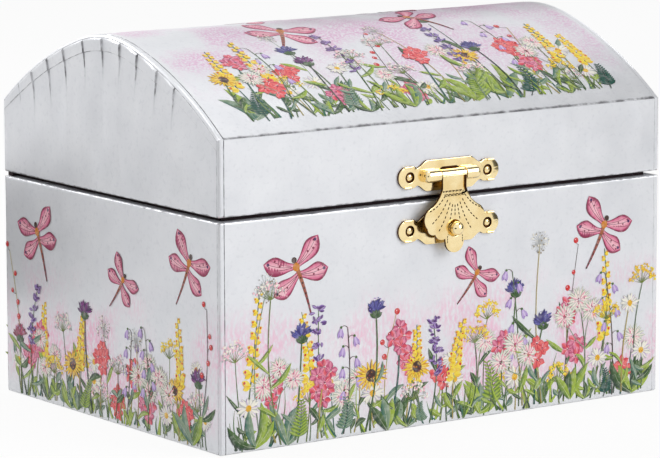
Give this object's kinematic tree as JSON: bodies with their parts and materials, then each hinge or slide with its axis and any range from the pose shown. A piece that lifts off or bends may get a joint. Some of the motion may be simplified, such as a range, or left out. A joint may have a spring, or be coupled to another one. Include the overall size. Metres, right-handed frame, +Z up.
{
  "type": "musical jewellery box",
  "caption": "Paper-covered jewellery box with a domed hinged lid, a gold shell hasp, lined compartments and a turning dancer on a wind-up musical movement.",
  "frame": {"origin": "centre of the underside", "axes": "+X to the right along the width, -Y to the front with the hasp, +Z up"},
  "size_m": [0.16, 0.1426, 0.1142],
  "materials": {
    "silver_paper": "pearlescent printed",
    "greyboard": "raw",
    "bottom_paper": "matt",
    "pink_satin": "satin",
    "mirror_glass": "polished",
    "gold_plate": "polished",
    "block_wood": "raw",
    "steel": "brushed",
    "brass": "turned",
    "fan_plastic": "matt",
    "white_plastic": "gloss",
    "doll_plastic": "painted",
    "tulle": "stiff net"
  },
  "bodies": {
    "base": {"bottom_sheet": "bottom_paper", "floor_board": "greyboard", "front_board": "greyboard", "back_board": "greyboard", "left_end_board": "greyboard", "right_end_board": "greyboard", "base_wrap_paper": "silver_paper", "wall_linings": "pink_satin", "floor_pads": "pink_satin", "rear_dividers": "pink_satin", "ring_divider": "pink_satin", "ring_bed": "pink_satin", "ring_rolls": "pink_satin", "stage_walls": "pink_satin", "stage_deck": "pink_satin", "spindle_bush": "brass", "hinge_leaves_base": "gold_plate", "base_nails": "gold_plate", "keeper_plate": "gold_plate", "keeper_stud": "gold_plate", "movement_block": "block_wood", "movement_screws": "steel", "bedplate": "steel", "comb": "steel", "comb_screws": "steel", "governor_bracket": "steel"},
    "lid": {"lid_front_rail": "greyboard", "lid_back_rail": "greyboard", "lid_left_end": "greyboard", "lid_right_end": "greyboard", "lid_dome": "greyboard", "lid_wrap_paper": "silver_paper", "lid_end_papers": "silver_paper", "lid_panel": "pink_satin", "lid_mirror": "mirror_glass", "lid_linings": "pink_satin", "hinge_leaves_lid": "gold_plate", "lid_nails": "gold_plate", "clasp_plate": "gold_plate", "clasp_pin": "gold_plate"},
    "hasp": {"clasp_hasp": "gold_plate"},
    "winding": {"winding_arbor": "steel", "winding_key": "steel"},
    "barrel": {"spring_barrel": "steel"},
    "cylinder": {"pinned_cylinder": "brass", "cylinder_gear": "brass", "cylinder_arbor": "steel", "turntable": "white_plastic"},
    "governor": {"governor_wheel": "brass"},
    "fan": {"governor_worm": "steel", "governor_fan": "fan_plastic"},
    "stop": {"stop_wire": "steel"},
    "dancer": {"dancer_spring": "steel", "dancer_figure": "doll_plastic", "tutu": "tulle"}
  },
  "joints": [
    {"name": "lid_open", "type": "hinge", "parent": "base", "child": "lid", "pos_m": [0, 0.0601, 0.0671], "axis": [-1, 0, 0], "range_deg": [0, 100]},
    {"name": "hasp_flip", "type": "hinge", "parent": "lid", "child": "hasp", "pos_m": [0, -0.0604, 0.0737], "axis": [-1, 0, 0], "range_deg": [0, 150]},
    {"name": "key_wind", "type": "hinge", "parent": "base", "child": "winding", "pos_m": [0, 0.06, 0.014], "axis": [0, 1, 0], "continuous": true},
    {"name": "cylinder_spin", "type": "hinge", "parent": "base", "child": "cylinder", "pos_m": [0, 0.0347, 0.03], "axis": [0, 0, 1], "continuous": true},
    {"name": "barrel_turn", "type": "hinge", "parent": "base", "child": "barrel", "pos_m": [0, 0.04, 0.014], "axis": [0, 1, 0], "continuous": true},
    {"name": "governor_turn", "type": "hinge", "parent": "base", "child": "governor", "pos_m": [0.0115, 0.0347, 0.037], "axis": [0, 0, 1], "continuous": true},
    {"name": "fan_spin", "type": "hinge", "parent": "base", "child": "fan", "pos_m": [0.0165, 0.0347, 0.037], "axis": [0, 1, 0], "continuous": true},
    {"name": "stop_lift", "type": "slide", "parent": "base", "child": "stop", "axis": [0, 0, 1], "range_m": [0, 0.0041]},
    {"name": "dancer_sway", "type": "hinge", "parent": "cylinder", "child": "dancer", "pos_m": [0, 0.0347, 0.051], "axis": [1, 0, 0], "range_deg": [-12, 12], "stiffness_Nm_per_rad": 0.01, "deforming": ["dancer_spring"]}
  ],
  "couplings": [
    {"joint": "barrel_turn", "follows": "cylinder_spin", "ratio": -0.33333},
    {"joint": "governor_turn", "follows": "cylinder_spin", "ratio": -3.6},
    {"joint": "fan_spin", "follows": "cylinder_spin", "ratio": 72},
    {"joint": "stop_lift", "follows": "lid_open", "m_per_rad": 0.00229}
  ]
}
